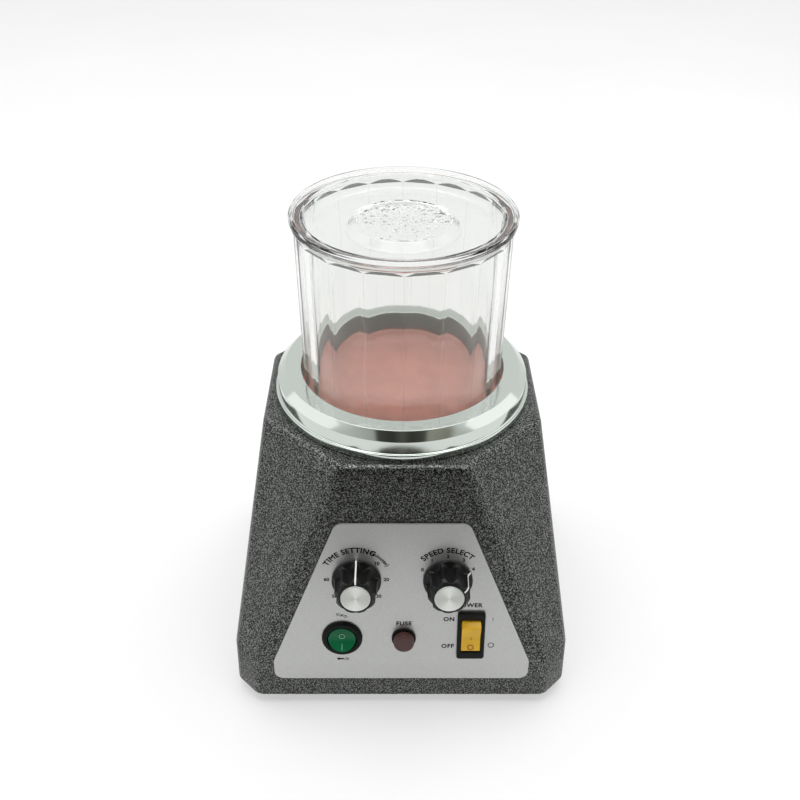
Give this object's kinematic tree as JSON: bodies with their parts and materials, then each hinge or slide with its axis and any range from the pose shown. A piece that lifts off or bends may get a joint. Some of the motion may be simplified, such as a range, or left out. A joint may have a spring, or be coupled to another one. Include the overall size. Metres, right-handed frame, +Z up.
{
  "type": "magnetic polisher",
  "caption": "Bench magnetic tumbler: tapered steel housing with knobs, switches and fuse on a sloped panel, and a lift-out clear bowl with a plug lid.",
  "frame": {"origin": "centre of the bounding box on the surface the feet stand on; the turntable axis is 5 mm behind it", "axes": "+Z up, -Y the front with the control panel, +X to the right of someone facing the panel"},
  "size_m": [0.2, 0.2099, 0.279],
  "materials": {
    "hammertone": "hammertone enamel on folded steel",
    "panel_silver": "satin silver-grey sheet with printed legends",
    "polished_aluminium": "turned and polished",
    "salmon_plastic": "moulded, satin",
    "clear_acrylic": "moulded clear, polished",
    "clear_acrylic_lid": "moulded clear, polished",
    "knob_phenolic": "moulded, glossy black",
    "spun_aluminium": "spun, with fine circular grain",
    "bright_steel": "bright plated",
    "control_case": "moulded",
    "switch_bezel_green": "moulded, dark green-black",
    "rocker_green": "moulded translucent green",
    "switch_nylon": "moulded black",
    "rocker_yellow": "moulded amber yellow",
    "fuse_holder_black": "moulded black",
    "fuse_cap_brown": "moulded brown-red",
    "fuse_glass": "glass tube with plated ends",
    "motor_grey": "grey painted steel",
    "lamination": "stacked steel laminations with windings",
    "bearing_steel": "ground steel",
    "ground_steel": "ground",
    "disc_aluminium": "machined",
    "magnet_nickel": "nickel plated",
    "fan_nylon": "moulded",
    "zinc_plate": "zinc plated",
    "board_green": "glass-fibre board with soldered parts",
    "rail_nylon": "moulded natural nylon",
    "floor_zinc": "zinc plated sheet",
    "foot_rubber": "moulded",
    "screw_zinc": "zinc plated",
    "inlet_nylon": "moulded black",
    "plated_brass": "nickel plated brass"
  },
  "bodies": {
    "root": {"housing": "hammertone", "control_panel": "panel_silver", "bowl_ring": "polished_aluminium", "bowl_platform": "salmon_plastic", "timer_body": "control_case", "timer_nut": "bright_steel", "speed_switch_body": "control_case", "speed_switch_nut": "bright_steel", "direction_switch_body": "switch_bezel_green", "power_switch_body": "switch_nylon", "fuse_holder": "fuse_holder_black", "motor_case": "motor_grey", "motor_end_cap": "motor_grey", "stator_core": "lamination", "upper_bearing": "bearing_steel", "lower_bearing": "bearing_steel", "motor_bracket": "zinc_plate", "standoff_1": "zinc_plate", "standoff_2": "zinc_plate", "standoff_3": "zinc_plate", "standoff_4": "zinc_plate", "control_board": "board_green", "board_rail_left": "rail_nylon", "board_rail_right": "rail_nylon", "bottom_plate": "floor_zinc", "foot_front_left": "foot_rubber", "foot_front_right": "foot_rubber", "foot_back_right": "foot_rubber", "foot_back_left": "foot_rubber", "foot_screw_front_left": "screw_zinc", "foot_screw_front_right": "screw_zinc", "foot_screw_back_right": "screw_zinc", "foot_screw_back_left": "screw_zinc", "power_inlet": "inlet_nylon", "inlet_pin_line": "plated_brass", "inlet_pin_neutral": "plated_brass", "inlet_pin_earth": "plated_brass"},
    "bowl": {"bowl": "clear_acrylic"},
    "lid": {"lid": "clear_acrylic_lid"},
    "rotor": {"motor_shaft": "ground_steel", "armature": "lamination", "cooling_fan": "fan_nylon", "magnet_disc": "disc_aluminium", "magnet_1": "magnet_nickel", "magnet_2": "magnet_nickel", "magnet_3": "magnet_nickel", "magnet_4": "magnet_nickel", "magnet_5": "magnet_nickel", "magnet_6": "magnet_nickel"},
    "time_knob": {"time_knob": "knob_phenolic", "time_knob_cap": "spun_aluminium", "timer_shaft": "bright_steel"},
    "speed_knob": {"speed_knob": "knob_phenolic", "speed_knob_cap": "spun_aluminium", "speed_switch_shaft": "bright_steel"},
    "direction_rocker": {"direction_rocker": "rocker_green"},
    "power_rocker": {"power_rocker": "rocker_yellow"},
    "fuse": {"fuse": "fuse_glass"},
    "fuse_cap": {"fuse_cap": "fuse_cap_brown"}
  },
  "joints": [
    {"name": "bowl_lift", "type": "slide", "parent": "root", "child": "bowl", "axis": [0, 0, 1], "range_m": [0, 0.12]},
    {"name": "lid_lift", "type": "slide", "parent": "bowl", "child": "lid", "axis": [0, 0, 1], "range_m": [0, 0.05]},
    {"name": "rotor_spin", "type": "hinge", "parent": "root", "child": "rotor", "pos_m": [0, 0.00497, 0.105], "axis": [0, 0, 1], "continuous": true},
    {"name": "time_turn", "type": "hinge", "parent": "root", "child": "time_knob", "pos_m": [-0.0257, -0.0852, 0.09567], "axis": [0, 0.9878, -0.1555], "range_deg": [0, 270]},
    {"name": "speed_turn", "type": "hinge", "parent": "root", "child": "speed_knob", "pos_m": [0.0257, -0.0852, 0.09567], "axis": [0, 0.9878, -0.1555], "range_deg": [-126, 0]},
    {"name": "direction_rock", "type": "hinge", "parent": "root", "child": "direction_rocker", "pos_m": [-0.0345, -0.09291, 0.05568], "axis": [1, 0, 0], "range_deg": [0, 20]},
    {"name": "power_rock", "type": "hinge", "parent": "root", "child": "power_rocker", "pos_m": [0.04, -0.08991, 0.05744], "axis": [1, 0, 0], "range_deg": [-20, 0]},
    {"name": "fuse_draw", "type": "slide", "parent": "root", "child": "fuse", "axis": [0, -0.9878, 0.1555], "range_m": [0, 0.03]},
    {"name": "fuse_cap_turn", "type": "hinge", "parent": "fuse", "child": "fuse_cap", "pos_m": [0.0012, -0.09155, 0.05537], "axis": [0, -0.9878, 0.1555], "range_deg": [0, 90]}
  ]
}
